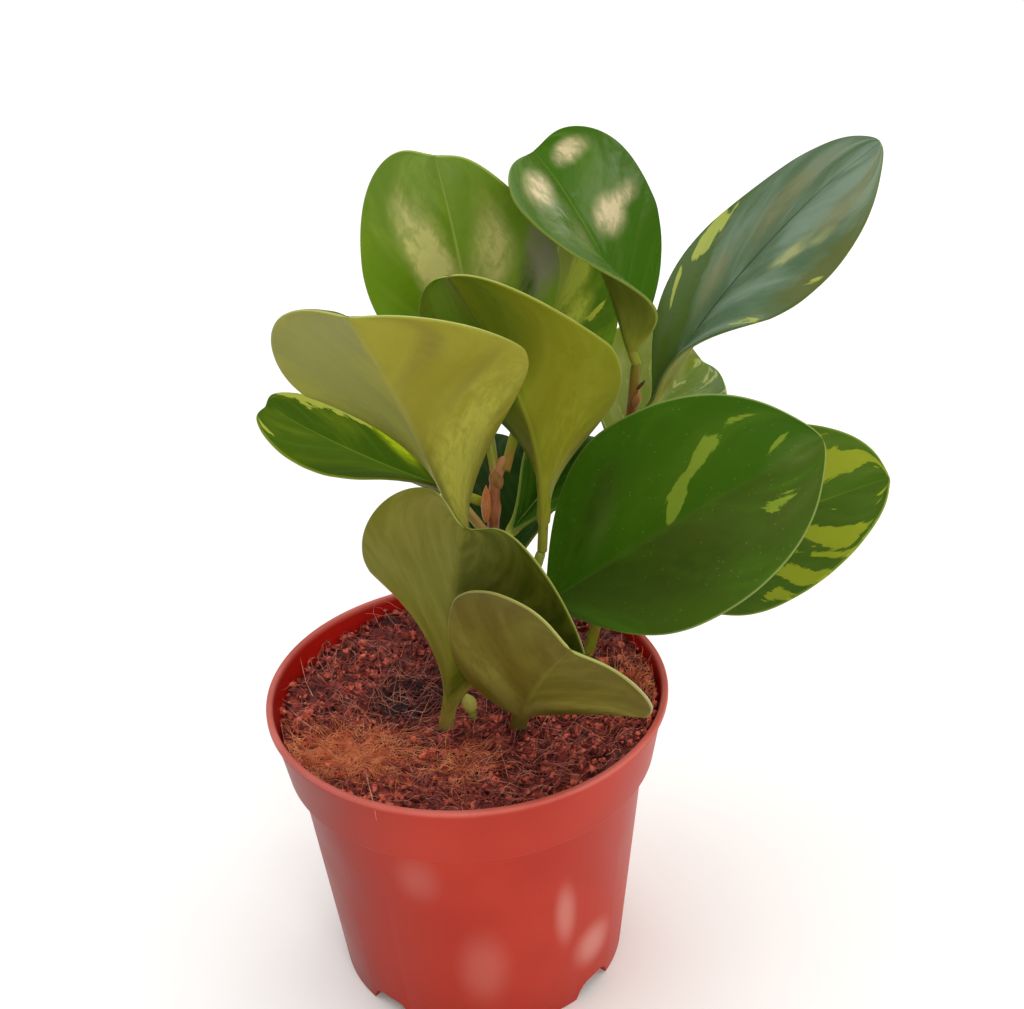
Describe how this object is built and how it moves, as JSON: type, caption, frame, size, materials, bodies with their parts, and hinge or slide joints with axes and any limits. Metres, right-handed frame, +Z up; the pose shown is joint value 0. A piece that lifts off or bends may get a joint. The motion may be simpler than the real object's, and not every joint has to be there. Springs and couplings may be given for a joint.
{
  "type": "potted peperomia",
  "caption": "Young peperomia with thick glossy oval leaves, some streaked with yellow, on reddish stems in coir soil, in a tapered plastic nursery pot.",
  "frame": {"origin": "centre of the pot's base, on the plane that the pot stands on", "axes": "+Z up, +X to the right as the picture shows the plant, +Y away from the viewer"},
  "size_m": [0.1608, 0.1405, 0.2223],
  "materials": {
    "pot_plastic": "moulded satin plastic, brick red",
    "coir_soil": "loose coir fibre and peat, red-brown",
    "stem_skin": "smooth fleshy skin, reddish brown over olive green",
    "leaf": "thick waxy leaf, glossy green above with yellow streaks, matt olive below"
  },
  "bodies": {
    "root": {"pot": "pot_plastic", "soil": "coir_soil", "middle_stem": "stem_skin", "right_stem": "stem_skin", "centre_shoot": "stem_skin", "front_shoot": "stem_skin", "upper_left_leaf": "leaf", "top_leaf": "leaf", "top_right_leaf": "leaf", "big_left_leaf": "leaf", "middle_leaf": "leaf", "far_left_leaf": "leaf", "lower_left_leaf": "leaf", "front_leaf": "leaf", "big_right_leaf": "leaf", "lower_right_leaf": "leaf", "pale_back_leaf": "leaf", "upright_leaf": "leaf", "bright_middle_leaf": "leaf", "small_left_leaf": "leaf", "dark_middle_leaf": "leaf"}
  },
  "joints": []
}
